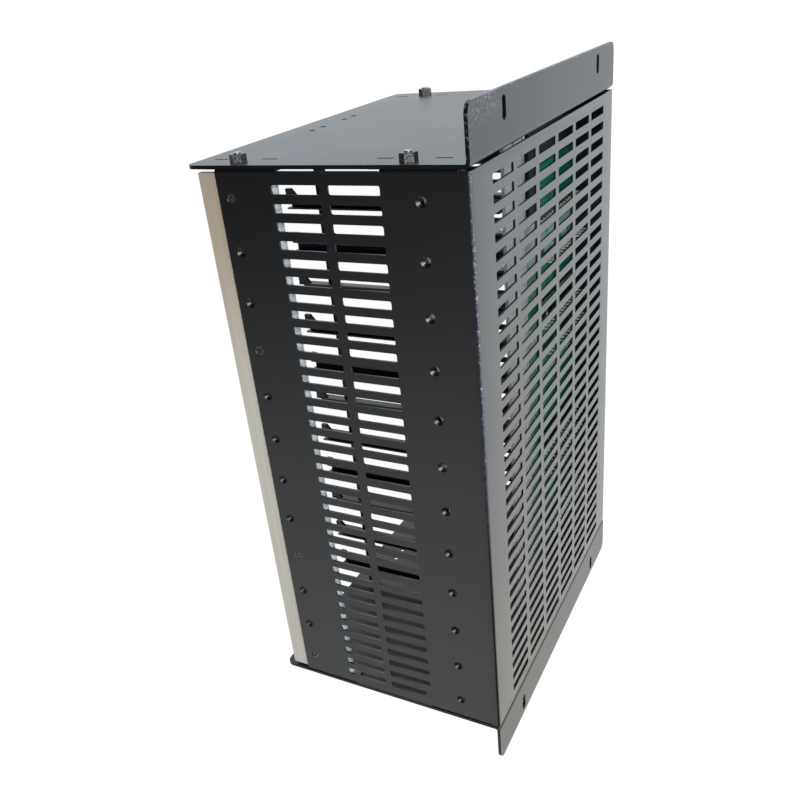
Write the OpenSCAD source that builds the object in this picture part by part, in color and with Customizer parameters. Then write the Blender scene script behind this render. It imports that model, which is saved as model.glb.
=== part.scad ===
// Subrack card cage: a wrapped, slotted sheet between two eared end plates, with card guides and a backplane.
// X runs across the rack width, +Y points to the slotted rear face, +Z is up. Millimetres.

/* [Overall] */
// Ear tip to ear tip
rack_width = 482.6; // [400:0.1:560]
// Bottom face to top face
cage_height = 296; // [220:1:360]
// Depth of the end plates behind the rear plane
plate_depth = 194.6; // [150:0.1:260]
// Setback of the sheet's front edge from the end plates' front edge
sheet_setback = 22.3; // [5:0.1:60]
// How far the card guides stand ahead of the end plates
guide_overhang = 13.4; // [2:0.1:30]

/* [Sheet metal] */
// Thickness of the wrapped sheet
sheet_t = 1.5; // [0.8:0.1:2.5]
// Outer radius of the two long bends
sheet_bend_r = 2.8; // [2:0.1:6]
// Thickness of the end plates and ears
plate_t = 2.4; // [1.5:0.1:4]
// Outer radius of the ear bend
ear_bend_r = 3.6; // [2.6:0.1:8]
// Gap between the sheet's open side edges and the end plates
edge_gap = 1.2; // [0.4:0.1:3]
// Radius of the end plates' front corners
plate_corner_r = 6; // [1:0.5:15]

/* [Ears] */
// Ear tip to the inner face of the end plate
ear_reach = 34.1; // [26:0.1:50]
// Radius of the ears' outer corners
ear_corner_r = 7; // [1:0.5:12]
// Distance of the slots' centre line from the ear tip
ear_slot_inset = 11.2; // [8:0.1:16]
// Length of an ear slot
ear_slot_length = 13.8; // [8:0.1:18]
// Width of an ear slot
ear_slot_width = 6.6; // [4:0.1:9]
// Upper ear slot below the top face
ear_slot_drop = 52.5; // [20:0.1:90]
// Distance between the two slots of an ear
ear_slot_spacing = 197.2; // [120:0.1:230]

/* [Hole pattern] */
// Number of card positions
positions = 12; // [6:1:14]
// Distance between card positions
position_pitch = 34.42; // [25:0.01:40]
// Width of every slot, across the rows
slot_width = 5.8; // [3:0.1:8]
// Length of a vent slot in the top and bottom
vent_length = 34.8; // [20:0.1:45]
// Solid web between the two vent columns
vent_web = 5.6; // [3:0.1:12]
// Rear plane to the rear vent column
vent_start = 56.2; // [45:0.1:80]
// Slot columns in the rear face
grille_columns = 6; // [3:1:6]
// Length of a slot in the rear face
grille_length = 34.2; // [20:0.1:36]
// Distance between slot columns in the rear face
grille_pitch = 40.6; // [37:0.1:44]
// Top face to the first slot column
grille_start = 31; // [24:0.1:50]
// Rim diameter of a countersunk hole
sink_d = 7; // [5:0.1:9]
// Bore of a countersunk hole
sink_bore_d = 3; // [2:0.1:4]
// Rear plane to the rear row of countersunk holes
sink_rear = 30.7; // [22:0.1:44]
// Rear plane to the front row of countersunk holes
sink_front = 162.5; // [150:0.1:168]

/* [Side flanges and end plate fixings] */
// Length of a side flange
flange_length = 48.6; // [40:0.1:52]
// Height of a side flange
flange_height = 19; // [16:0.1:30]
// Rear plane to the rear flange
flange_rear = 17.4; // [14:0.1:20]
// Rear plane to the front flange
flange_front = 136.2; // [125:0.1:140]
// Length of a locating tab
tab_length = 10; // [6:0.1:14]
// Clearance round a locating tab
tab_gap = 0.3; // [0.1:0.05:0.6]
// Stud diameter
stud_d = 4.8; // [3:0.1:6]
// Stud centre below the face
stud_drop = 11; // [9:0.1:12]
// Nut size across flats
nut_flats = 9.5; // [7:0.1:11]
// Nut height
nut_height = 5; // [3:0.1:7]
// Bore of the spare holes in the end plates
spare_hole_d = 4.8; // [3:0.1:6]
// Distance between the two spare holes of a pair
spare_hole_spacing = 14.5; // [10:0.1:20]
// Distance between the centres of the two pairs
spare_pair_spacing = 46.5; // [34:0.1:60]
// Rear plane to the spare holes
spare_hole_back = 172.3; // [150:0.1:180]

/* [Front bars] */
// Depth of an aluminium front bar
bar_depth = 57.4; // [50:0.1:60]
// Thickness of an aluminium front bar
bar_t = 4.1; // [2.5:0.1:6]
// How far a bar stands ahead of the sheet
bar_step = 14.4; // [6:0.1:18]

/* [Card guides] */
// Width of a card guide
guide_width = 7.6; // [6:0.1:9]
// Height of a card guide
guide_height = 9.6; // [7:0.1:12]
// Width of the card groove
guide_groove = 2.6; // [1.6:0.1:3.4]
// Top face to the top of the upper guides
guide_drop = 119.6; // [90:0.1:140]
// Length of the foot at the rear end of a lower guide
foot_length = 10; // [4:0.5:30]
// Width of the cross rail below the upper guides
cross_rail_w = 7; // [4:0.1:10]
// Rear plane to the cross rail
cross_rail_back = 180.7; // [178:0.1:184]

/* [Backplane] */
// Rear plane to the back of the board
board_back = 30.5; // [24:0.1:40]
// Thickness of the board
board_t = 1.6; // [1:0.1:3]
// Board edge to board edge
board_width = 344; // [250:1:380]
// Height of the ribbed rail above the board
rail_height = 41; // [30:0.1:60]
// Thickness of the ribbed rail
rail_t = 4.4; // [3.5:0.1:8]
// How far the ribs stand out of the rail
rib_depth = 1.2; // [0.6:0.1:2]
// Length of a post strip
strip_length = 112; // [60:1:118]
// Distance between posts
post_pitch = 6.35; // [4:0.01:8]
// Height of a post over its strip
post_height = 6.5; // [3:0.1:9]

/* [Hidden] */
sheet_depth = plate_depth - sheet_setback;
total_depth = plate_depth + guide_overhang;
rear_y = total_depth / 2;
top_z = cage_height;
inner_x = rack_width / 2 - ear_reach;
outer_x = inner_x + plate_t;
leaf_x = inner_x - edge_gap;
sheet_inner_r = sheet_bend_r - sheet_t;
flange_bend_r = sheet_t + 0.8;
bend_x = inner_x - flange_bend_r;
row_pitch = position_pitch / 3;
rows = positions * 3 - 1;
vent_pitch = vent_length + vent_web;
bar_x = inner_x - sheet_t - 1;
bar_front = sheet_depth + bar_step;
plate_mid_z = top_z / 2;
slot_mid_z = top_z - ear_slot_drop - ear_slot_spacing / 2;
guide_bottom_z = top_z - guide_drop - guide_height;
rail_top_z = top_z - guide_drop;
rail_front = board_back + rail_t;
board_top_z = rail_top_z - rail_height;
lip_height = 12;
strip_top_z = board_top_z - 9;
post_w = 1;
strip_w = 5;
strip_t = 2.5;
posts = floor((strip_length - 3) / post_pitch) + 1;
housing_w = 20;
housing_t = 8;
screw_at = [0, 3, 8, 11];
strip_at = [-126.2, -94.3, -38.4, -16.7, 79.6, 98.2, 158.1];
housing_at = [-51.5, 66.5];
screw_head_drop = 0.2;
eps = 0.01;

// The node to build, or "all".

function position_x(i) = (i - (positions - 1) / 2) * position_pitch;
function row_x(k) = (k - (rows - 1) / 2) * row_pitch;

// Copies its children to the top and, turned over, to the bottom.
module top_and_bottom() {
    children();
    translate([0, 0, top_z]) mirror([0, 0, 1]) children();
}

// Copies its children to the right end and, mirrored, to the left end.
module both_ends() {
    children();
    mirror([1, 0, 0]) children();
}

// Quarter of a bent sheet, its centre at the origin, opening away from +x and +y.
module bend_quarter(outer_r, t) {
    intersection() {
        difference() {
            circle(r = outer_r, $fn = 48);
            circle(r = outer_r - t, $fn = 48);
        }
        square(outer_r + 1);
    }
}

// U-shaped section of the wrapped sheet in the depth-height plane.
module wrap_section() {
    for (z = [0, top_z - sheet_t])
        translate([rear_y - sheet_depth, z]) square([sheet_depth - sheet_bend_r, sheet_t]);
    translate([rear_y - sheet_t, sheet_bend_r]) square([sheet_t, top_z - 2 * sheet_bend_r]);
    translate([rear_y - sheet_bend_r, top_z - sheet_bend_r]) bend_quarter(sheet_bend_r, sheet_t);
    translate([rear_y - sheet_bend_r, sheet_bend_r]) mirror([0, 1])
        bend_quarter(sheet_bend_r, sheet_t);
}

// One side flange at the top right, from depth d to d + flange_length, with its two tabs.
module side_flange(d) {
    y0 = rear_y - d - flange_length;
    flat_h = flange_height - flange_bend_r;
    translate([bend_x, y0 + flange_length, top_z - flange_bend_r]) rotate([90, 0, 0])
        linear_extrude(flange_length) bend_quarter(flange_bend_r, sheet_t);
    difference() {
        translate([inner_x - sheet_t, y0, top_z - flange_height])
            cube([sheet_t, flange_length, flat_h]);
        translate([inner_x - 3, y0 + flange_length / 2, top_z - stud_drop]) rotate([0, 90, 0])
            cylinder(h = 6, d = stud_d, $fn = 32);
    }
    for (y = [y0 + 0.6, y0 + flange_length - tab_length - 0.6])
        translate([inner_x - sheet_t, y, top_z - flange_height])
            cube([sheet_t + plate_t - 0.4, tab_length, sheet_t]);
}

// Countersunk hole through the top sheet at x and depth d.
module sink(x, d) {
    translate([x, rear_y - d, top_z - sheet_t - 1]) cylinder(h = 3, d = sink_bore_d, $fn = 24);
    translate([x, rear_y - d, top_z - sheet_t])
        cylinder(h = sheet_t + eps, d1 = sink_bore_d, d2 = sink_d, $fn = 24);
}

module wrap_sheet() {
    color([0.07, 0.075, 0.085]) {
        difference() {
            translate([-leaf_x, 0, 0]) rotate([90, 0, 90]) linear_extrude(2 * leaf_x) wrap_section();
            for (k = [0 : rows - 1]) {
                for (c = [0, 1])
                    translate([row_x(k) - slot_width / 2,
                            rear_y - vent_start - vent_length - c * vent_pitch, -1])
                        cube([slot_width, vent_length, top_z + 2]);
                for (c = [0 : grille_columns - 1])
                    translate([row_x(k) - slot_width / 2, rear_y - sheet_t - 1,
                            top_z - grille_start - grille_length - c * grille_pitch])
                        cube([slot_width, sheet_t + 2, grille_length]);
            }
            top_and_bottom() for (i = [0 : positions - 1]) {
                sink(position_x(i), sink_front);
                sink(position_x(i), sink_rear);
            }
            // Notches where the side flanges turn over, with a relief at each end.
            top_and_bottom() both_ends() for (d = [flange_rear, flange_front])
                translate([bend_x, rear_y - d - flange_length - sheet_t, top_z - sheet_t - 1])
                    cube([edge_gap + flange_bend_r, flange_length + 2 * sheet_t, sheet_t + 2]);
        }
        top_and_bottom() both_ends() {
            side_flange(flange_rear);
            side_flange(flange_front);
        }
    }
}

// Rectangle from the origin with both corners on its left rounded.
module two_rounded(w, h, r) {
    translate([r, 0]) square([w - r, h]);
    translate([0, r]) square([r, h - 2 * r]);
    for (y = [r, h - r]) translate([r, y]) circle(r = r, $fn = 32);
}

// Right end plate: flat side wall, bend and slotted ear in one piece.
module end_plate() {
    difference() {
        union() {
            translate([inner_x, rear_y - plate_depth, 0]) rotate([90, 0, 90]) linear_extrude(plate_t)
                two_rounded(plate_depth - ear_bend_r, top_z, plate_corner_r);
            translate([inner_x + ear_bend_r, rear_y - ear_bend_r, 0]) linear_extrude(top_z)
                mirror([1, 0]) bend_quarter(ear_bend_r, plate_t);
            translate([rack_width / 2, rear_y, 0]) rotate([90, 0, 0]) linear_extrude(plate_t)
                mirror([1, 0]) two_rounded(ear_reach - ear_bend_r, top_z, ear_corner_r);
        }
        for (s = [-1, 1]) translate([rack_width / 2 - ear_slot_inset, rear_y + 1,
                slot_mid_z + s * ear_slot_spacing / 2]) rotate([90, 0, 0])
            linear_extrude(plate_t + 2) {
                square([ear_slot_length - ear_slot_width, ear_slot_width], center = true);
                for (e = [-1, 1]) translate([e * (ear_slot_length - ear_slot_width) / 2, 0])
                    circle(d = ear_slot_width, $fn = 32);
            }
        top_and_bottom() for (d = [flange_rear, flange_front]) {
            translate([inner_x - 1, rear_y - d - flange_length / 2, top_z - stud_drop])
                rotate([0, 90, 0]) cylinder(h = plate_t + 2, d = stud_d + 0.4, $fn = 32);
            for (y = [0.6, flange_length - tab_length - 0.6])
                translate([inner_x - 1, rear_y - d - flange_length + y - tab_gap,
                        top_z - flange_height - tab_gap])
                    cube([plate_t + 2, tab_length + 2 * tab_gap, sheet_t + 2 * tab_gap]);
        }
        for (p = [-1, 1], s = [-1, 1])
            translate([inner_x - 1, rear_y - spare_hole_back,
                    plate_mid_z + p * spare_pair_spacing / 2 + s * spare_hole_spacing / 2])
                rotate([0, 90, 0]) cylinder(h = plate_t + 2, d = spare_hole_d, $fn = 32);
    }
}

module end_plate_right() color([0.08, 0.085, 0.095]) end_plate();
module end_plate_left() color([0.08, 0.085, 0.095]) mirror([1, 0, 0]) end_plate();

// Flat bar under the top sheet's front edge, tapped at every card position.
module front_bar() {
    difference() {
        translate([-bar_x, rear_y - bar_front, top_z - sheet_t - bar_t])
            cube([2 * bar_x, bar_depth, bar_t]);
        for (i = [0 : positions - 1])
            translate([position_x(i), rear_y - sink_front, top_z - sheet_t - bar_t - 1])
                cylinder(h = bar_t + 2, d = sink_bore_d, $fn = 24);
    }
}

module front_bar_top() color([0.77, 0.76, 0.73]) front_bar();
module front_bar_bottom() color([0.77, 0.76, 0.73])
    translate([0, 0, top_z]) mirror([0, 0, 1]) front_bar();

// Socket-head countersunk screws through the sheet into a front bar.
module bar_screws() {
    head_top = sheet_t - screw_head_drop;
    head_d = sink_bore_d + (sink_d - sink_bore_d) * head_top / sheet_t;
    for (i = screw_at) translate([position_x(i), rear_y - sink_front, top_z - sheet_t])
        difference() {
            union() {
                cylinder(h = head_top, d1 = sink_bore_d, d2 = head_d, $fn = 24);
                translate([0, 0, -bar_t]) cylinder(h = bar_t, d = sink_bore_d, $fn = 24);
            }
            translate([0, 0, head_top - 0.9]) cylinder(h = 1, d = 2.3, $fn = 6);
        }
}

module bar_screws_top() color([0.35, 0.35, 0.36]) bar_screws();
module bar_screws_bottom() color([0.35, 0.35, 0.36])
    translate([0, 0, top_z]) mirror([0, 0, 1]) bar_screws();

// Four studs of the right end, their heads inside the side flanges.
module studs() {
    top_and_bottom() for (d = [flange_rear, flange_front])
        translate([inner_x - sheet_t, rear_y - d - flange_length / 2, top_z - stud_drop])
            rotate([0, 90, 0]) {
                translate([0, 0, -1]) cylinder(h = 1, d = stud_d + 2.6, $fn = 32);
                cylinder(h = sheet_t + plate_t + nut_height + 0.8, d = stud_d, $fn = 32);
            }
}

module studs_right() color([0.5, 0.5, 0.5]) studs();
module studs_left() color([0.5, 0.5, 0.5]) mirror([1, 0, 0]) studs();

// Four hexagon nuts of the right end, chamfered on their outer face.
module nuts() {
    corner_d = nut_flats / cos(30);
    top_and_bottom() for (d = [flange_rear, flange_front])
        translate([outer_x, rear_y - d - flange_length / 2, top_z - stud_drop])
            rotate([0, 90, 0]) difference() {
                intersection() {
                    cylinder(h = nut_height, d = corner_d, $fn = 6);
                    cylinder(h = nut_height, d1 = corner_d + 2 * nut_height, d2 = nut_flats - 0.2,
                        $fn = 48);
                }
                translate([0, 0, -1]) cylinder(h = nut_height + 2, d = stud_d, $fn = 32);
            }
}

module nuts_right() color([0.2, 0.2, 0.21]) nuts();
module nuts_left() color([0.2, 0.2, 0.21]) mirror([1, 0, 0]) nuts();

// Slim rail between the end plates that carries the upper guides' front ends.
module cross_rail() color([0.06, 0.06, 0.065])
    translate([-inner_x, rear_y - cross_rail_back - cross_rail_w / 2, guide_bottom_z - 6])
        cube([2 * inner_x, cross_rail_w, 6]);

// Ribbed rail between the end plates. It stops the upper guides and holds the board by a lip.
module backplane_rail() color([0.62, 0.62, 0.6]) {
    translate([-inner_x, rear_y - rail_front, board_top_z])
        cube([2 * inner_x, rail_t, rail_height]);
    for (z = [0, (rail_height - 3.4) / 2, rail_height - 3.4])
        translate([-inner_x, rear_y - board_back, board_top_z + z])
            cube([2 * inner_x, rib_depth, 3.4]);
    translate([-inner_x, rear_y - rail_front, board_top_z - lip_height])
        cube([2 * inner_x, rail_t - board_t, lip_height]);
}

module backplane_board() color([0.02, 0.3, 0.17])
    translate([-board_width / 2, rear_y - board_back - board_t, sheet_t])
        cube([board_width, board_t, board_top_z - sheet_t]);

// Plastic strip on the back of the board, centred at x.
module post_strip(x) color([0.04, 0.05, 0.05])
    translate([x - strip_w / 2, rear_y - board_back, strip_top_z - strip_length])
        cube([strip_w, strip_t, strip_length]);

module post_strip_1() post_strip(strip_at[0]);
module post_strip_2() post_strip(strip_at[1]);
module post_strip_3() post_strip(strip_at[2]);
module post_strip_4() post_strip(strip_at[3]);
module post_strip_5() post_strip(strip_at[4]);
module post_strip_6() post_strip(strip_at[5]);
module post_strip_7() post_strip(strip_at[6]);

// Square posts standing out of the seven strips.
module backplane_posts() color([0.8, 0.8, 0.76])
    for (x = strip_at, p = [0 : posts - 1])
        translate([x - post_w / 2, rear_y - board_back + strip_t,
                strip_top_z - 1.5 - post_w / 2 - p * post_pitch])
            cube([post_w, post_height, post_w]);

// Black housing on the back of the board, centred at x.
module housing(x) color([0.03, 0.03, 0.035])
    translate([x - housing_w / 2, rear_y - board_back, strip_top_z - strip_length])
        cube([housing_w, housing_t, strip_length]);

module housing_1() housing(housing_at[0]);
module housing_2() housing(housing_at[1]);

// Card guide for the lower edge of a card: a grooved bar with a flared mouth, centred on x = 0.
module guide() {
    length = total_depth - rail_front;
    front_y = -rear_y;
    flare = 12;
    groove_depth = 4.5;
    difference() {
        union() {
            translate([-guide_width / 2, front_y + flare, 0])
                cube([guide_width, length - flare, guide_height]);
            translate([0, front_y, 0]) linear_extrude(guide_height)
                polygon([[-guide_width / 2 - 1.4, 0], [guide_width / 2 + 1.4, 0],
                    [guide_width / 2, flare], [-guide_width / 2, flare]]);
        }
        translate([-guide_groove / 2, front_y - 1, guide_height - groove_depth])
            cube([guide_groove, length + 2, groove_depth + 1]);
        translate([0, front_y - eps, guide_height - groove_depth]) linear_extrude(groove_depth + 1)
            polygon([[-guide_groove / 2 - 1.8, 0], [guide_groove / 2 + 1.8, 0],
                [guide_groove / 2, flare], [-guide_groove / 2, flare]]);
        for (s = [-1, 1])
            translate([s * guide_width / 4 - 0.5, front_y + flare, -1])
                cube([1, length - flare - 6, 2.2]);
    }
}

// A lower guide lies on the bottom bar at the front and stands on a foot at the rear.
module lower_guide(i) color([0.24, 0.25, 0.26]) translate([position_x(i), 0, sheet_t]) {
    translate([0, 0, bar_t]) guide();
    translate([-guide_width / 2, rear_y - rail_front - foot_length, 0])
        cube([guide_width, foot_length, bar_t]);
}
module upper_guide(i) color([0.24, 0.25, 0.26])
    translate([position_x(i), 0, guide_bottom_z + guide_height]) mirror([0, 0, 1]) guide();

module upper_guide_01() upper_guide(0);
module upper_guide_02() upper_guide(1);
module upper_guide_03() upper_guide(2);
module upper_guide_04() upper_guide(3);
module upper_guide_05() upper_guide(4);
module upper_guide_06() upper_guide(5);
module upper_guide_07() upper_guide(6);
module upper_guide_08() upper_guide(7);
module upper_guide_09() upper_guide(8);
module upper_guide_10() upper_guide(9);
module upper_guide_11() upper_guide(10);
module upper_guide_12() upper_guide(11);
module lower_guide_01() lower_guide(0);
module lower_guide_02() lower_guide(1);
module lower_guide_03() lower_guide(2);
module lower_guide_04() lower_guide(3);
module lower_guide_05() lower_guide(4);
module lower_guide_06() lower_guide(5);
module lower_guide_07() lower_guide(6);
module lower_guide_08() lower_guide(7);
module lower_guide_09() lower_guide(8);
module lower_guide_10() lower_guide(9);
module lower_guide_11() lower_guide(10);
module lower_guide_12() lower_guide(11);

wrap_sheet();
end_plate_left();
end_plate_right();
front_bar_top();
front_bar_bottom();
bar_screws_top();
bar_screws_bottom();
studs_left();
studs_right();
nuts_left();
nuts_right();
cross_rail();
backplane_rail();
backplane_board();
backplane_posts();
housing_1();
housing_2();
post_strip_1();
post_strip_2();
post_strip_3();
post_strip_4();
post_strip_5();
post_strip_6();
post_strip_7();
upper_guide_01();
upper_guide_02();
upper_guide_03();
upper_guide_04();
upper_guide_05();
upper_guide_06();
upper_guide_07();
upper_guide_08();
upper_guide_09();
upper_guide_10();
upper_guide_11();
upper_guide_12();
lower_guide_01();
lower_guide_02();
lower_guide_03();
lower_guide_04();
lower_guide_05();
lower_guide_06();
lower_guide_07();
lower_guide_08();
lower_guide_09();
lower_guide_10();
lower_guide_11();
lower_guide_12();
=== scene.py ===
"""Subrack card cage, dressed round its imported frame."""

import math

import bpy
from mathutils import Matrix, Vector


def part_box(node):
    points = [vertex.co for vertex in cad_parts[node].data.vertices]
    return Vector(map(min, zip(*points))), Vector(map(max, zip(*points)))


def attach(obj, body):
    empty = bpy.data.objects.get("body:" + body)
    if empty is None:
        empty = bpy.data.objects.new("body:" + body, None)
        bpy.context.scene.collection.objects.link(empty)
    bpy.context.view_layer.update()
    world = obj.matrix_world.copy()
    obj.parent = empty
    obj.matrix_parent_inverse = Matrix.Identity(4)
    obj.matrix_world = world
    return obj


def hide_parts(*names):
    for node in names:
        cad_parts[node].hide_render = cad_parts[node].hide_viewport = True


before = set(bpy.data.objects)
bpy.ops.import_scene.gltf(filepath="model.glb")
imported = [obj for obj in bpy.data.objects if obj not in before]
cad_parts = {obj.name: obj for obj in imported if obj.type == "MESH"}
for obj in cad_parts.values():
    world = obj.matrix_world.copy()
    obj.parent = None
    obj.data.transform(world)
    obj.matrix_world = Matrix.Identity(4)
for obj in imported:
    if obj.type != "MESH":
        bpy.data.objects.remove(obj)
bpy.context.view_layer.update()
bpy.ops.object.select_all(action="DESELECT")

# The view: from above the left end plate and behind the slotted rear face, with the rack's
# width running down the picture.
view_place = (-0.2987, 0.2850, 0.7201)
view_turn = (-30.74, 27.28, 83.58)
bpy.ops.object.camera_add(location=view_place, rotation=[math.radians(a) for a in view_turn])
camera = bpy.context.object
camera.data.sensor_width = 36
camera.data.lens = 38.0
camera.data.shift_x = 0.01476
camera.data.shift_y = 0.03437
camera.data.clip_start = 0.01
bpy.context.scene.camera = camera
bpy.context.scene.view_settings.view_transform = "Standard"


# The studio: a floor and surround that the camera sees as white, a dim sky with one bright side, and
# three large soft lamps. Reflections see the floor a little brighter and tinted, cool towards the
# left end and warm towards the right, which stands for the light of a room.
class Signal:
    """One value of a finish, with the arithmetic that a mask needs."""

    def __init__(self, finish, socket):
        self.finish = finish
        self.socket = socket

    def sum_up(self, operation, *values):
        return self.finish.node("Math", {"operation": operation}, dict(enumerate(values)))

    def __add__(self, other):
        return self.sum_up("ADD", self, other)

    def __sub__(self, other):
        return self.sum_up("SUBTRACT", self, other)

    def __mul__(self, other):
        return self.sum_up("MULTIPLY", self, other)

    def __truediv__(self, other):
        return self.sum_up("DIVIDE", self, other)

    def __pow__(self, other):
        return self.sum_up("POWER", self, other)

    def __rsub__(self, other):
        return self.sum_up("SUBTRACT", other, self)

    __radd__ = __add__
    __rmul__ = __mul__

    def size(self):
        return self.sum_up("ABSOLUTE", self)

    def most(self, other):
        return self.sum_up("MAXIMUM", self, other)

    def ramp(self, start, end):
        """Rises smoothly from 0 at start to 1 at end, or falls where end is the lower."""
        return self.finish.node(
            "MapRange",
            {"interpolation_type": "SMOOTHSTEP"},
            {"Value": self, "From Min": start, "From Max": end},
        )


class Finish:
    """A node tree in the making, with its one method that adds a node."""

    def __init__(self, tree):
        self.tree = tree
        tree.nodes.clear()

    def node(self, kind, settings={}, values={}, out=0):
        made = self.tree.nodes.new("ShaderNode" + kind)
        for name, value in settings.items():
            setattr(made, name, value)
        for name, value in values.items():
            if isinstance(value, Signal):
                self.tree.links.new(value.socket, made.inputs[name])
            elif isinstance(value, tuple) and len(value) == 3 and made.inputs[name].type == "RGBA":
                made.inputs[name].default_value = (*value, 1)
            else:
                made.inputs[name].default_value = value
        return Signal(self, made.outputs[out]) if made.outputs else made

    def place(self):
        """Object coordinates as three signals, and as the vector that textures read."""
        vector = self.node("TexCoord", out="Object")
        return [self.node("SeparateXYZ", {}, {0: vector}, out=i) for i in range(3)] + [vector]

    def colour(self, mask, low, high):
        """The colour low where the mask is 0 and high where it is 1."""
        return self.node("Mix", {"data_type": "RGBA"}, {0: mask, 6: low, 7: high}, out=2)


def open_finish(owner):
    """Clears the node tree of a world or a material for a new finish."""
    owner.use_nodes = True
    return Finish(owner.node_tree)


world = bpy.data.worlds.new("studio")
bpy.context.scene.world = world
sky = open_finish(world)
toward = sky.node("TexCoord", out="Generated")
bright_side = (0.78, -0.30, 0.55)
facing = sky.node("VectorMath", {"operation": "DOT_PRODUCT"}, {0: toward, 1: bright_side}, out="Value")
sky_colour = sky.colour(facing.ramp(0.76, 1.05), (0.016, 0.019, 0.027), (0.74, 0.75, 0.76))
seen = sky.node("LightPath", out="Is Camera Ray")
through = sky.node("LightPath", out="Is Transmission Ray")
dim = sky.node("Background", {}, {"Color": sky_colour})
white = sky.node("Background", {}, {"Color": (1.0, 1.0, 1.0)})
sky.node("OutputWorld", {}, {"Surface": sky.node("MixShader", {}, {0: seen.most(through), 1: dim, 2: white})})

bpy.ops.mesh.primitive_plane_add(size=9, location=(0, 0, -0.0006))
floor = bpy.context.object
floor.name = "studio_floor"
floor_paint = bpy.data.materials.new("studio_floor")
pale = open_finish(floor_paint)
seen = pale.node("LightPath", out="Is Camera Ray")
mirrored = pale.node("LightPath", out="Is Glossy Ray")
through = pale.node("LightPath", out="Is Transmission Ray")
lit = pale.node("BsdfDiffuse", {}, {"Color": (0.8, 0.8, 0.8)})
faint = pale.node("BsdfDiffuse", {}, {"Color": (0.10, 0.10, 0.10)})
glow = pale.node("Emission", {}, {"Color": (1.0, 1.0, 1.0), "Strength": 0.97})
shown = pale.node("AddShader", {}, {0: faint, 1: glow})
x, y, z, vector = pale.place()
tint = pale.colour(x.ramp(-0.5, 0.7), (0.84, 0.93, 1.0), (1.0, 0.97, 0.91))
reflected = pale.node("Emission", {}, {"Color": tint, "Strength": 1.42})
shown = pale.node("MixShader", {}, {0: mirrored, 1: shown, 2: reflected})
looked_at = seen.most(mirrored).most(through)
surface = pale.node("MixShader", {}, {0: looked_at, 1: lit, 2: shown})
pale.node("OutputMaterial", {}, {"Surface": surface})
floor.data.materials.append(floor_paint)

for place, across, power in (
    ((-0.9, 1.5, 2.0), 1.6, 46),
    ((0.9, -2.2, 0.7), 1.6, 5),
    ((0.4, 2.3, 0.7), 1.4, 14),
):
    aim = (Vector((0, 0, 0.15)) - Vector(place)).to_track_quat("-Z", "Y")
    bpy.ops.object.light_add(type="AREA", location=place, rotation=aim.to_euler())
    bpy.context.object.data.size = across
    bpy.context.object.data.energy = power


# The wrapped sheet: one steel sheet bent into top, rear face and bottom, punched with vents, slots
# and countersunk holes, then coated satin black. The coat is chipped along the top rear bend, where
# a blue highlight is painted on its outer curve, and chipped in specks on the margin below it.
def specks(finish, vector, per_metre, share):
    """Small round chips: one in a share of the cells of a Voronoi pattern."""
    cell = {"Vector": vector, "Scale": per_metre}
    near = finish.node("TexVoronoi", {}, cell, out="Distance")
    draw = finish.node("TexVoronoi", {}, cell, out="Color") * 1.0
    return near.ramp(0.34, 0.16) * draw.ramp(1 - share - 0.02, 1 - share)


def noise(finish, vector, per_metre, detail=3, rough=0.55):
    """Soft noise with so many cells to the metre."""
    values = {"Vector": vector, "Scale": per_metre, "Detail": detail, "Roughness": rough}
    return finish.node("TexNoise", {}, values)


def shades(colour, spread):
    """A darker and a lighter tone of one colour."""
    return tuple(c * (1 - spread) for c in colour), tuple(c * (1 + spread) for c in colour)


def black_paint(name, chipped, painted_highlight=None, colour=(0.0030, 0.0032, 0.0038), gloss=0.34, level=0.95):
    """Satin black coat. chipped masks bare metal, the next argument a painted blue highlight."""
    made = bpy.data.materials.new(name)
    paint = open_finish(made)
    x, y, z, vector = paint.place()
    worn = chipped(paint, x, y, z, vector)
    cloud = noise(paint, vector, 14)
    fine = noise(paint, vector, 1500, 2)
    tone = paint.colour(cloud.ramp(0.3, 0.7), *shades(colour, 0.12))
    mottle = noise(paint, vector, 700).ramp(0.35, 0.65)
    bare = paint.colour(mottle, (0.22, 0.24, 0.27), (0.62, 0.66, 0.70))
    if painted_highlight:
        # a blue highlight is painted into the colour where that mask is 1
        tone = paint.colour(painted_highlight(x, y, z), tone, (0.012, 0.022, 0.060))
    bump = paint.node("Bump", {}, {"Strength": 0.12, "Distance": 0.0002, "Height": fine - worn * 0.8})
    shell = paint.node(
        "BsdfPrincipled",
        {},
        {
            "Base Color": paint.colour(worn, tone, bare),
            "Roughness": cloud * 0.06 + fine * 0.05 + (gloss - 0.055) + worn * 0.08,
            "Metallic": worn * 0.5,
            "Specular IOR Level": level,
            "IOR": 1.58,
            "Normal": bump,
        },
    )
    paint.node("OutputMaterial", {}, {"Surface": shell})
    return made


def sheet_chips(paint, x, y, z, vector):
    """Bare metal along the top rear bend, on the margin below it, and in a few specks elsewhere."""
    bend = (y + z).ramp(0.3980, 0.3986) * x.ramp(0.06, -0.08)
    along_bend = bend * noise(paint, vector, 520, 4, 0.7).ramp(0.54, 0.62) * 0.7
    margin = (y.ramp(0.1028, 0.1036)) * z.ramp(0.2700, 0.2850)
    on_margin = margin * specks(paint, vector, 420, 0.05)
    anywhere = specks(paint, vector, 200, 0.010) * 0.7
    return along_bend.most(on_margin).most(anywhere)


def bend_highlight(x, y, z):
    """The outer curve of the top rear bend, where a blue highlight is painted."""
    return (y + z).ramp(0.3982, 0.3988) * x.ramp(0.10, -0.02)


sheet_paint = black_paint("sheet_paint", sheet_chips, bend_highlight)


def finish_node(name, made):
    """Gives a node of the frame its finish."""
    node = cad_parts[name]
    node.data.materials.clear()
    node.data.materials.append(made)


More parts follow.
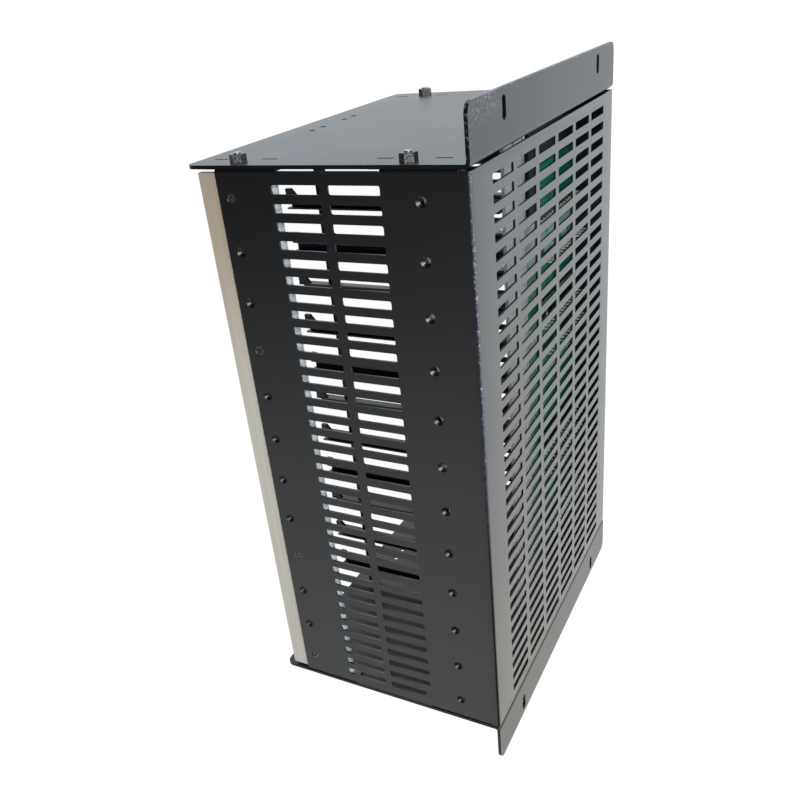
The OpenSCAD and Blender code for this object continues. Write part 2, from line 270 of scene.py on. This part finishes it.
def block(name, low, high):
    """A block between two corners, as the active object."""
    low, high = Vector(low), Vector(high)
    bpy.ops.mesh.primitive_cube_add(size=1, location=(low + high) / 2, scale=high - low)
    made = bpy.context.object
    made.name = name
    bpy.ops.object.transform_apply(location=True, rotation=True, scale=True)
    return made


def pick(piece, test):
    """Opens the piece in edit mode with the faces selected whose centre passes the test."""
    bpy.context.view_layer.objects.active = piece
    bpy.ops.object.mode_set(mode="EDIT")
    bpy.ops.mesh.select_mode(type="FACE")
    bpy.ops.mesh.select_all(action="DESELECT")
    bpy.ops.object.mode_set(mode="OBJECT")
    for face in piece.data.polygons:
        face.select = test(face)
    bpy.ops.object.mode_set(mode="EDIT")


def pull(x, y, z):
    """Extrudes what is selected and goes back to object mode."""
    bpy.ops.mesh.extrude_region_move(TRANSFORM_OT_translate={"value": (x, y, z)})
    bpy.ops.object.mode_set(mode="OBJECT")


def cut(piece, axis, places):
    """Cuts the piece's faces across one axis at several places."""
    pick(piece, lambda face: True)
    for place in places:
        at = [0.0, 0.0, 0.0]
        at[axis] = place
        across = [0.0, 0.0, 0.0]
        across[axis] = 1.0
        bpy.ops.mesh.select_all(action="SELECT")
        bpy.ops.mesh.bisect(plane_co=at, plane_no=across)
    bpy.ops.object.mode_set(mode="OBJECT")


def soften(piece, width, angle=40):
    """Rounds the sharp edges."""
    bpy.context.view_layer.objects.active = piece
    bevel = piece.modifiers.new("edges", "BEVEL")
    bevel.width = width
    bevel.segments = 2
    bevel.limit_method = "ANGLE"
    bevel.angle_limit = math.radians(angle)
    bpy.ops.object.modifier_apply(modifier="edges")


def dress(piece, made, nodes):
    """Gives a new piece its finish and body, and the nodes of the frame that it stands for."""
    piece.data.materials.clear()
    piece.data.materials.append(made)
    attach(piece, "root")
    if nodes:
        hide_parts(*nodes)


def pick_edges(piece, test):
    """Opens the piece in edit mode with the edges selected whose two end points pass the test."""
    bpy.context.view_layer.objects.active = piece
    bpy.ops.object.mode_set(mode="EDIT")
    bpy.ops.mesh.select_mode(type="EDGE")
    bpy.ops.mesh.select_all(action="DESELECT")
    bpy.ops.object.mode_set(mode="OBJECT")
    for edge in piece.data.edges:
        edge.select = test(*(piece.data.vertices[end].co for end in edge.vertices))
    bpy.ops.object.mode_set(mode="EDIT")


def strip_faces(piece, test):
    """Deletes the faces that pass the test."""
    pick(piece, test)
    bpy.ops.mesh.delete(type="FACE")
    bpy.ops.object.mode_set(mode="OBJECT")


def fold(piece, radius, thickness):
    """Rounds the edges that are selected and gives the sheet its thickness on the inner side."""
    bpy.ops.mesh.bevel(offset=radius, segments=5, affect="EDGES")
    bpy.ops.object.mode_set(mode="OBJECT")
    skin = piece.modifiers.new("skin", "SOLIDIFY")
    skin.thickness = thickness
    skin.offset = -1
    bpy.ops.object.modifier_apply(modifier="skin")


def rounded_cutter(name, low, high, axis, radius):
    """A block whose edges along one axis are rounded."""
    made = block(name, low, high)
    along = (high[axis] - low[axis]) / 2
    pick_edges(made, lambda start, end: abs(end[axis] - start[axis]) > along)
    bpy.ops.mesh.bevel(offset=radius, segments=3, affect="EDGES")
    bpy.ops.object.mode_set(mode="OBJECT")
    return made


def repeat(piece, count, step):
    """Repeats the piece along a step."""
    bpy.context.view_layer.objects.active = piece
    row = piece.modifiers.new("row", "ARRAY")
    row.count = count
    row.use_relative_offset = False
    row.use_constant_offset = True
    row.constant_offset_displace = step
    bpy.ops.object.modifier_apply(modifier="row")


def joined(pieces):
    """Joins the pieces into the first."""
    bpy.ops.object.select_all(action="DESELECT")
    for piece in pieces:
        piece.select_set(True)
    bpy.context.view_layer.objects.active = pieces[0]
    bpy.ops.object.join()
    return pieces[0]


nearly = 0.0001
sheet_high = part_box("wrap_sheet")[1]
rear = sheet_high.y
top = sheet_high.z
plate_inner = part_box("end_plate_right")[0].x
sheet_thickness = 0.0015
sheet_edge = plate_inner - 0.0012
sheet_depth = 0.1723
sheet = block("wrapped_sheet", (-sheet_edge, rear - sheet_depth, 0), (sheet_edge, rear, top))
strip_faces(sheet, lambda face: abs(face.normal.x) > 0.9 or face.normal.y < -0.9)


def at_rear_corner(point):
    return point.y > rear - nearly and abs(point.z - top / 2) > top / 2 - nearly


pick_edges(sheet, lambda start, end: at_rear_corner(start) and at_rear_corner(end))
fold(sheet, 0.0022, sheet_thickness)

# Vents through top and bottom in two rows, and slots through the rear face in six columns.
row_pitch = 0.01147333
rows = 35
slot_width = 0.0058
first_row = -(rows - 1) / 2 * row_pitch
past = 0.005
vent_start = 0.0562
vent_length = 0.0348
vent_pitch = 0.0404
slot_start = 0.031
slot_length = 0.0342
slot_pitch = 0.0406
cutters = []
for count in range(2):
    near = rear - vent_start - count * vent_pitch
    slot = rounded_cutter(
        "vent",
        (first_row - slot_width / 2, near - vent_length, -past),
        (first_row + slot_width / 2, near, top + past),
        2,
        0.0011,
    )
    repeat(slot, rows, (row_pitch, 0, 0))
    cutters.append(slot)
slot = rounded_cutter(
    "grille",
    (first_row - slot_width / 2, rear - 0.006, top - slot_start - slot_length),
    (first_row + slot_width / 2, rear + 0.006, top - slot_start),
    1,
    0.0009,
)
repeat(slot, rows, (row_pitch, 0, 0))
repeat(slot, 6, (0, 0, -slot_pitch))
cutters.append(slot)

# Countersunk holes in two rows, one at each card position, and the notches where the side flanges
# turn down.
positions = 12
position_pitch = 3 * row_pitch
first_position = -(positions - 1) / 2 * position_pitch
bore_radius = 0.0015
rim_radius = 0.0035
for depth in (0.1625, 0.0307):
    for face_z, turned in ((top, 0.0), (0.0, math.pi)):
        across = face_z - sheet_thickness / 2 if face_z else sheet_thickness / 2
        bpy.ops.mesh.primitive_cone_add(
            vertices=24,
            radius1=bore_radius,
            radius2=rim_radius,
            depth=sheet_thickness + 0.00004,
            location=(first_position, rear - depth, across),
            rotation=(turned, 0, 0),
        )
        sink = bpy.context.object
        bpy.ops.object.transform_apply(location=True, rotation=True, scale=True)
        bpy.ops.mesh.primitive_cylinder_add(
            vertices=24,
            radius=bore_radius,
            depth=0.006,
            location=(first_position, rear - depth, face_z),
        )
        bore = bpy.context.object
        bpy.ops.object.transform_apply(location=True, rotation=True, scale=True)
        for part in (sink, bore):
            repeat(part, positions, (position_pitch, 0, 0))
            cutters.append(part)
flange_fold = 0.0023
fold_start = plate_inner - flange_fold
flange_ends = ((0.0080, 0.0557), (0.1267, 0.1723))
for side in (-1, 1):
    for near, far in flange_ends:
        edges = sorted((side * fold_start, side * (sheet_edge + 0.001)))
        cutters.append(
            block(
                "notch",
                (edges[0], rear - far - 0.0008, -past),
                (edges[1], rear - near + 0.0008, top + past),
            )
        )

slots, holes, notches = cutters[:3], cutters[3:-4], cutters[-4:]
for chosen in (slots, holes[::2], holes[1::2], notches):
    tool = joined(chosen)
    bpy.context.view_layer.objects.active = sheet
    hole = sheet.modifiers.new("holes", "BOOLEAN")
    hole.operation = "DIFFERENCE"
    hole.solver = "EXACT"
    hole.object = tool
    bpy.ops.object.modifier_apply(modifier="holes")
    bpy.data.objects.remove(tool)

# Side flanges: folded along the ends, each with two locating tabs through the end plate and a flat
# tongue that carries the tab beyond the fold.
flange_height = 0.019
tab_length = 0.010
flanges = [sheet]
for side in (-1, 1):
    for level in (0, 1):
        for near, far in flange_ends:
            edges = sorted((side * fold_start, side * plate_inner))
            heights = (top - flange_height, top) if level else (0, flange_height)
            flange = block(
                "flange",
                (edges[0], rear - far, heights[0]),
                (edges[1], rear - near, heights[1]),
            )
            outer_z = 1 if level else -1
            strip_faces(
                flange,
                lambda face: face.normal.x * side < 0.9 and face.normal.z * outer_z < 0.9,
            )
            corner = Vector((side * plate_inner, 0, top if level else 0))
            pick_edges(
                flange,
                lambda start, end: all(
                    abs(point.x - corner.x) < nearly and abs(point.z - corner.z) < nearly
                    for point in (start, end)
                ),
            )
            fold(flange, flange_fold - 0.0001, sheet_thickness)
            flanges.append(flange)
        for tab_near in (0.0180, 0.0554, 0.1368, 0.1742):
            edges = sorted((side * (plate_inner - sheet_thickness), side * (plate_inner + 0.0020)))
            inner_z = top - flange_height if level else flange_height - sheet_thickness
            tab = block(
                "tab",
                (edges[0], rear - tab_near - tab_length, inner_z),
                (edges[1], rear - tab_near, inner_z + sheet_thickness),
            )
            soften(tab, 0.0002)
            flanges.append(tab)
        edges = sorted((side * (plate_inner - sheet_thickness), side * plate_inner))
        heights = (top - flange_height, top - 0.006) if level else (0.006, flange_height)
        for near, far in ((0.0550, 0.0660), (0.1720, 0.1848)):
            tongue = block(
                "tongue",
                (edges[0], rear - far, heights[0]),
                (edges[1], rear - near, heights[1]),
            )
            soften(tongue, 0.0004)
            flanges.append(tongue)
joined(flanges)
bpy.ops.object.mode_set(mode="EDIT")
bpy.ops.mesh.select_all(action="SELECT")
bpy.ops.mesh.normals_make_consistent(inside=False)
bpy.ops.object.mode_set(mode="OBJECT")
bpy.ops.object.shade_smooth_by_angle(angle=math.radians(25))
dress(sheet, sheet_paint, ["wrap_sheet"])


# The end plates: two steel plates, each bent once into a slotted rack ear at the rear. The same
# satin black, rubbed at the ear's outer edge, its slots and the bend.
def plate_chips(paint, x, y, z, vector):
    """Bare metal on the ears' outer rims, round the left ear's upper slot, and in specks."""
    rim = x.size().ramp(0.2402, 0.2412) * noise(paint, vector, 300, 4, 0.7).ramp(0.54, 0.62) * 0.8
    flat = x.size().ramp(0.2105, 0.2120)
    rubbed = (z - 0.272).size().ramp(0.030, 0.010) * (x + 0.236).size().ramp(0.012, 0.002)
    scuffs = rubbed * noise(paint, vector, 700, 4, 0.7).ramp(0.56, 0.66) * 0.6
    corner = z.ramp(0.288, 0.295) * noise(paint, vector, 500, 4, 0.7).ramp(0.56, 0.64) * 0.5
    on_ear = flat * (specks(paint, vector, 300, 0.03).most(scuffs).most(corner))
    anywhere = specks(paint, vector, 160, 0.012) * 0.8
    return rim.most(on_ear).most(anywhere)


plate_paint = black_paint("plate_paint", plate_chips, None, (0.0045, 0.0048, 0.0060), 0.36, 0.42)
finish_node("end_plate_left", plate_paint)
finish_node("end_plate_right", plate_paint)


# The front bars: flat aluminium bars under the sheet's front edges, brushed along their length and
# stained. Their colour runs from beige at the left end to paler towards the middle; its warm tint is
# a painted reflection. The inner edge below the vents is painted paler and bluer, for the sky's light
# on bright metal, and the top below the sheet is painted dark, for shade and for oil in the joint.
# Blackened countersunk screws hold the bars.
bar_aluminium = bpy.data.materials.new("bar_aluminium")
mill = open_finish(bar_aluminium)
x, y, z, vector = mill.place()
stretched = mill.node("Mapping", {}, {"Vector": vector, "Scale": (6.0, 400.0, 400.0)})
grain = noise(mill, stretched, 3.0, 4)
stain = noise(mill, vector, 30, 3)
# painted reflection: a warm tint, beige at the left end and paler towards the middle
bar_colour = mill.colour(x.ramp(-0.21, -0.02), (0.62, 0.51, 0.385), (0.90, 0.87, 0.76))
sky_lit = y.ramp(-0.0280, -0.0272)
across_bar = mill.node("Mapping", {}, {"Vector": vector, "Scale": (260.0, 20.0, 20.0)})
streaks = noise(mill, across_bar, 1.0, 2)
sky_tone = mill.colour(streaks.ramp(0.42, 0.58), (0.50, 0.62, 0.70), (0.86, 0.95, 1.0))
# painted shade and oil: the bar's top under the sheet is made dark
joint_shade_and_oil = y.ramp(-0.0685, -0.0675) * y.ramp(-0.0300, -0.0310)
bar_colour = mill.colour(joint_shade_and_oil, bar_colour, (0.02, 0.02, 0.02))
bar_colour = mill.colour(sky_lit, bar_colour, sky_tone)
marks = grain.ramp(0.3, 0.7) * 0.25 + stain.ramp(0.62, 0.72) * 0.15
shell = mill.node(
    "BsdfPrincipled",
    {},
    {
        "Base Color": mill.colour(marks, bar_colour, (0.40, 0.37, 0.33)),
        "Metallic": 0.0,
        "Roughness": grain * 0.10 + 0.38,
        "Normal": mill.node("Bump", {}, {"Strength": 0.15, "Distance": 0.0002, "Height": grain}),
    },
)
mill.node("OutputMaterial", {}, {"Surface": shell})
finish_node("front_bar_top", bar_aluminium)
finish_node("front_bar_bottom", bar_aluminium)

screw_steel = bpy.data.materials.new("screw_steel")
black_oxide = open_finish(screw_steel)
x, y, z, vector = black_oxide.place()
rubbed = noise(black_oxide, vector, 900, 3).ramp(0.45, 0.6)
shell = black_oxide.node(
    "BsdfPrincipled",
    {},
    {
        "Base Color": black_oxide.colour(rubbed, (0.05, 0.05, 0.055), (0.30, 0.30, 0.30)),
        "Metallic": 0.8,
        "Roughness": rubbed * -0.10 + 0.42,
    },
)
black_oxide.node("OutputMaterial", {}, {"Surface": shell})
finish_node("bar_screws_top", screw_steel)
finish_node("bar_screws_bottom", screw_steel)


# The studs and nuts: a steel stud in each side flange passes through the end plate, under a dark
# hexagon nut mottled with paler patches.
stud_steel = bpy.data.materials.new("stud_steel")
plain = open_finish(stud_steel)
x, y, z, vector = plain.place()
mottle = noise(plain, vector, 1200, 3)
shell = plain.node(
    "BsdfPrincipled",
    {},
    {
        "Base Color": plain.colour(mottle, (0.30, 0.30, 0.30), (0.55, 0.55, 0.54)),
        "Metallic": 0.9,
        "Roughness": mottle * 0.2 + 0.30,
    },
)
plain.node("OutputMaterial", {}, {"Surface": shell})
finish_node("studs_left", stud_steel)
finish_node("studs_right", stud_steel)

nut_steel = bpy.data.materials.new("nut_steel")
dark = open_finish(nut_steel)
x, y, z, vector = dark.place()
mottle = noise(dark, vector, 900, 3)
shell = dark.node(
    "BsdfPrincipled",
    {},
    {
        "Base Color": dark.colour(mottle.ramp(0.4, 0.7), (0.06, 0.06, 0.065), (0.25, 0.25, 0.25)),
        "Metallic": 0.8,
        "Roughness": mottle * 0.2 + 0.28,
    },
)
dark.node("OutputMaterial", {}, {"Surface": shell})
finish_node("nuts_left", nut_steel)
finish_node("nuts_right", nut_steel)


# The card guides: dark moulded channels, twelve above and twelve below. The upper ones lie on a slim
# black cross rail, end at the backplane rail and carry a flat wing at the front.
def moulded(name, colour, gloss):
    """A moulded plastic with a fine texture and a slow change of tone."""
    made = bpy.data.materials.new(name)
    resin = open_finish(made)
    x, y, z, vector = resin.place()
    cloud = noise(resin, vector, 40)
    fine = noise(resin, vector, 1600, 2)
    shell = resin.node(
        "BsdfPrincipled",
        {},
        {
            "Base Color": resin.colour(cloud.ramp(0.3, 0.7), *shades(colour, 0.15)),
            "Roughness": fine * 0.1 + gloss,
            "Normal": resin.node("Bump", {}, {"Strength": 0.1, "Distance": 0.0002, "Height": fine}),
        },
    )
    resin.node("OutputMaterial", {}, {"Surface": shell})
    return made


def guide_material(name, lift):
    """Dark grey moulding on its rims, painted nearly black below them for the shade in the channel."""
    made = bpy.data.materials.new(name)
    resin = open_finish(made)
    x, y, z, vector = resin.place()
    fine = noise(resin, vector, 1600, 2)
    rim = z.ramp(lift - 0.0006, lift - 0.0001)
    patchy = noise(resin, vector, 30).ramp(0.4, 0.6)
    # painted shade: below the rims the moulding is made nearly black
    channel_shade = resin.colour(patchy, (0.004, 0.005, 0.010), (0.008, 0.010, 0.018))
    shell = resin.node(
        "BsdfPrincipled",
        {},
        {
            "Base Color": resin.colour(rim, channel_shade, (0.075, 0.080, 0.085)),
            "Roughness": fine * 0.1 + 0.36,
            "Normal": resin.node("Bump", {}, {"Strength": 0.1, "Distance": 0.0002, "Height": fine}),
        },
    )
    resin.node("OutputMaterial", {}, {"Surface": shell})
    return made


guide_low, guide_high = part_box("upper_guide_01")
guide_x = (guide_low.x + guide_high.x) / 2
guide_half = 0.0044
guide_top = 0.1742
guide_depth = guide_top - guide_low.z
web_thickness = 0.0016
guide_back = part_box("backplane_board")[1].y - web_thickness
wall = 0.0013
bpy.ops.mesh.primitive_plane_add(size=1, location=(0, 0, 0))
channel = bpy.context.object
channel.name = "upper_guide_channel_01"
channel.scale = (2 * guide_half, guide_back - guide_low.y, 1)
channel.location = (guide_x, (guide_back + guide_low.y) / 2, guide_low.z)
bpy.ops.object.transform_apply(location=True, rotation=True, scale=True)
pick_edges(channel, lambda start, end: abs(start.x - end.x) < nearly)
bpy.ops.mesh.extrude_region_move(TRANSFORM_OT_translate={"value": (0, 0, guide_depth)})
bpy.ops.mesh.select_all(action="SELECT")
bpy.ops.mesh.normals_make_consistent(inside=False)
bpy.ops.object.mode_set(mode="OBJECT")
thick = channel.modifiers.new("walls", "SOLIDIFY")
thick.thickness = wall
thick.offset = 1 if channel.data.polygons[0].normal.z > 0 else -1
bpy.ops.object.modifier_apply(modifier="walls")
soften(channel, 0.0002)

# The wing at each guide's front end: a flat tongue on one side, its inner corner cut off.
wing_length = 0.0107
wing_reach = 0.0070
wing = block(
    "guide_wing",
    (guide_x - guide_half - wing_reach, guide_low.y, guide_top - 0.0035),
    (guide_x - guide_half + 0.0002, guide_low.y + wing_length, guide_top - 0.0003),
)
pick(wing, lambda face: face.normal.x < -0.9)
bpy.ops.transform.resize(value=(1, 0.45, 1), center_override=(0, guide_low.y, guide_top))
bpy.ops.object.mode_set(mode="OBJECT")
soften(wing, 0.0003)
joined([channel, wing])

def copy_of(piece, name, x):
    """A copy with its own mesh, moved along the width."""
    bpy.ops.object.select_all(action="DESELECT")
    piece.select_set(True)
    bpy.context.view_layer.objects.active = piece
    bpy.ops.object.duplicate(linked=False)
    made = bpy.context.object
    made.name = name
    bpy.ops.transform.translate(value=(x, 0, 0))
    bpy.ops.object.transform_apply(location=True, rotation=True, scale=True)
    return made


upper_plastic = guide_material("upper_guide_plastic", guide_top)
channels = [channel]
for count in range(2, 13):
    near_low, near_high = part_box(f"upper_guide_{count:02d}")
    shift = (near_low.x + near_high.x) / 2 - guide_x
    channels.append(copy_of(channel, f"upper_guide_channel_{count:02d}", shift))
for count, piece in enumerate(channels, 1):
    node = f"upper_guide_{count:02d}"
    dress(piece, upper_plastic, [node])

lower_plastic = guide_material("lower_guide_plastic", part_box("lower_guide_01")[1].z)
for count in range(1, 13):
    finish_node(f"lower_guide_{count:02d}", lower_plastic)
finish_node("cross_rail", moulded("cross_rail_paint", (0.006, 0.006, 0.007), 0.4))


# The backplane: an extruded aluminium rail with three thin ribs holds a green board by its upper
# edge, inside the slotted face. The board carries a low black cover at one end, two shrouded
# headers, seven strips of bright posts and two dark sockets.
rail_aluminium = bpy.data.materials.new("rail_aluminium")
drawn = open_finish(rail_aluminium)
x, y, z, vector = drawn.place()
drawn_out = drawn.node("Mapping", {}, {"Vector": vector, "Scale": (5.0, 500.0, 500.0)})
lines = noise(drawn, drawn_out, 3.0, 3)
shell = drawn.node(
    "BsdfPrincipled",
    {},
    {
        "Base Color": drawn.colour(lines.ramp(0.3, 0.7), (0.55, 0.55, 0.54), (0.80, 0.80, 0.79)),
        "Metallic": 0.35,
        "Roughness": lines * 0.15 + 0.30,
    },
)
drawn.node("OutputMaterial", {}, {"Surface": shell})

rail_low, rail_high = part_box("backplane_rail")
board_low, board_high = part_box("backplane_board")
board_face = board_high.y
rib_tops = (0.1698, 0.1496, 0.1308)
rib_height = 0.0015
web_foot = 0.1500
rail = block(
    "backplane_rail_extrusion",
    (rail_low.x, board_face - web_thickness, board_high.z - 0.0060),
    (rail_high.x, board_face, rib_tops[0]),
)
cut(rail, 2, [web_foot] + [rib - rib_height for rib in rib_tops] + list(rib_tops[1:]))


def on_rib(face):
    return face.normal.y > 0.9 and any(0 < rib - face.center.z < rib_height for rib in rib_tops)


pick(rail, on_rib)
pull(0, 0.0010, 0)
pick(rail, lambda face: face.normal.y < -0.9 and face.center.z < web_foot)
pull(0, rail_low.y - (board_face - web_thickness), 0)
soften(rail, 0.00015)
dress(rail, rail_aluminium, ["backplane_rail"])

# The board: green, with fine tracks, and paler where light comes through it from the front.
board_laminate = bpy.data.materials.new("board_laminate")
mask_green = open_finish(board_laminate)
x, y, z, vector = mask_green.place()
weave = noise(mask_green, vector, 60, 3)
tracks = (mask_green.node("Math", {"operation": "FRACT"}, {0: z / 0.00254}) - 0.5).size().ramp(0.26, 0.20)
green = mask_green.colour(tracks * weave.ramp(0.4, 0.6), (0.002, 0.20, 0.105), (0.01, 0.42, 0.23))
lit_through = 0 * z
for middle, half in ((-0.104, 0.010), (-0.0165, 0.0035), (0.0085, 0.0018), (0.1035, 0.0035)):
    lit_through = lit_through.most((x - middle).size().ramp(half, half - 0.001))
patches = lit_through * noise(mask_green, vector, 90, 2).ramp(0.38, 0.52) * z.ramp(0.104, 0.098)
shell = mask_green.node(
    "BsdfPrincipled",
    {},
    {
        "Base Color": mask_green.colour(patches, green, (0.48, 0.85, 0.72)),
        "Roughness": weave * 0.1 + 0.25,
    },
)
mask_green.node("OutputMaterial", {}, {"Surface": shell})
board_half = 0.187
board = block(
    "backplane_laminate",
    (-board_half, board_low.y, board_low.z),
    (board_half, board_face, rib_tops[2] - rib_height),
)
soften(board, 0.0002)
dress(board, board_laminate, ["backplane_board"])

cover_black = moulded("end_cover_plastic", (0.002, 0.006, 0.009), 0.62)
cover = block("board_end_cover", (-0.206, board_face, 0.105), (-0.133, board_face + 0.003, 0.126))
cut(cover, 0, [-0.168])
pick(cover, lambda face: face.normal.z < -0.9 and face.center.x < -0.168)
pull(0, 0, -0.101)
soften(cover, 0.0004)
dress(cover, cover_black, [])

header_pale = moulded("header_plastic", (0.62, 0.68, 0.68), 0.4)
for count, (left, right) in enumerate(((-0.129, -0.0975), (-0.046, -0.031)), 1):
    header = block(f"board_header_{count}", (left, board_face, 0.110), (right, board_face + 0.0035, 0.126))
    pick(header, lambda face: face.normal.y > 0.9)
    bpy.ops.mesh.inset(thickness=0.0015)
    pull(0, -0.0028, 0)
    soften(header, 0.0002)
    dress(header, header_pale, [])

# The strips and their posts. The last strip's posts stand at about half the pitch of the others.
strip_green = moulded("strip_plastic", (0.006, 0.045, 0.028), 0.4)
post_metal = bpy.data.materials.new("post_metal")
tin = open_finish(post_metal)
x, y, z, vector = tin.place()
shell = tin.node(
    "BsdfPrincipled",
    {},
    {
        "Base Color": tin.colour(noise(tin, vector, 800), (0.94, 0.95, 0.92), (1.0, 1.0, 0.97)),
        "Metallic": 0.0,
        "Roughness": 0.25,
    },
)
tin.node("OutputMaterial", {}, {"Surface": shell})
post_top = 0.104
post_foot = 0.005
post_tip = 0.0845
post_width = 0.0013
post_columns = []
for count in range(1, 8):
    strip_low, strip_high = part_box(f"post_strip_{count}")
    strip = block(
        f"wrap_strip_{count}",
        (strip_low.x, board_face, post_foot - 0.0015),
        (strip_high.x, board_face + 0.0025, post_top + 0.0015),
    )
    soften(strip, 0.0003)
    dress(strip, strip_green, [f"post_strip_{count}"])
    pitch = 0.0038 if count == 7 else 0.0073
    middle = (strip_low.x + strip_high.x) / 2
    post = block(
        f"wrap_posts_{count}",
        (middle - post_width / 2, board_face + 0.0020, post_foot),
        (middle + post_width / 2, post_tip, post_foot + post_width),
    )
    pick(post, lambda face: face.normal.y > 0.9)
    bpy.ops.mesh.inset(thickness=post_width * 0.25)
    bpy.ops.transform.translate(value=(0, 0.0004, 0))
    bpy.ops.object.mode_set(mode="OBJECT")
    repeat(post, int((post_top - post_foot - post_width) / pitch) + 1, (0, 0, pitch))
    post_columns.append(post)
posts = joined(post_columns)
posts.name = "wrap_posts"
dress(posts, post_metal, ["backplane_posts"])

# The sockets: dark and hollow, with pale bars of painted highlight along a side and the back of the first.
socket_black = bpy.data.materials.new("socket_plastic")
dark = open_finish(socket_black)
x, y, z, vector = dark.place()
# painted highlights: pale bars on a side and on the back of the first socket
side_bar = (y - 0.0787).size().ramp(0.0011, 0.0009) * (x + 0.0615).size().ramp(0.0004, 0.0002)
back_bar = (x + 0.0520).size().ramp(0.0016, 0.0014) * y.ramp(0.0812, 0.0814)
painted_light_bars = side_bar.most(back_bar) * z.ramp(0.020, 0.022)
shell = dark.node(
    "BsdfPrincipled",
    {},
    {
        "Base Color": dark.colour(painted_light_bars, (0.010, 0.012, 0.014), (0.62, 0.66, 0.66)),
        "Roughness": 0.35,
    },
)
dark.node("OutputMaterial", {}, {"Surface": shell})
for count, (left, right) in enumerate(((-0.0615, -0.0475), (0.0565, 0.0695)), 1):
    socket = block(
        f"board_socket_{count}",
        (left, board_face, post_foot),
        (right, board_face + 0.008, post_top + 0.0015),
    )
    pick(socket, lambda face: face.normal.y > 0.9)
    bpy.ops.mesh.inset(thickness=0.0042)
    pull(0, -0.005, 0)
    soften(socket, 0.0003)
    dress(socket, socket_black, [f"housing_{count}"])
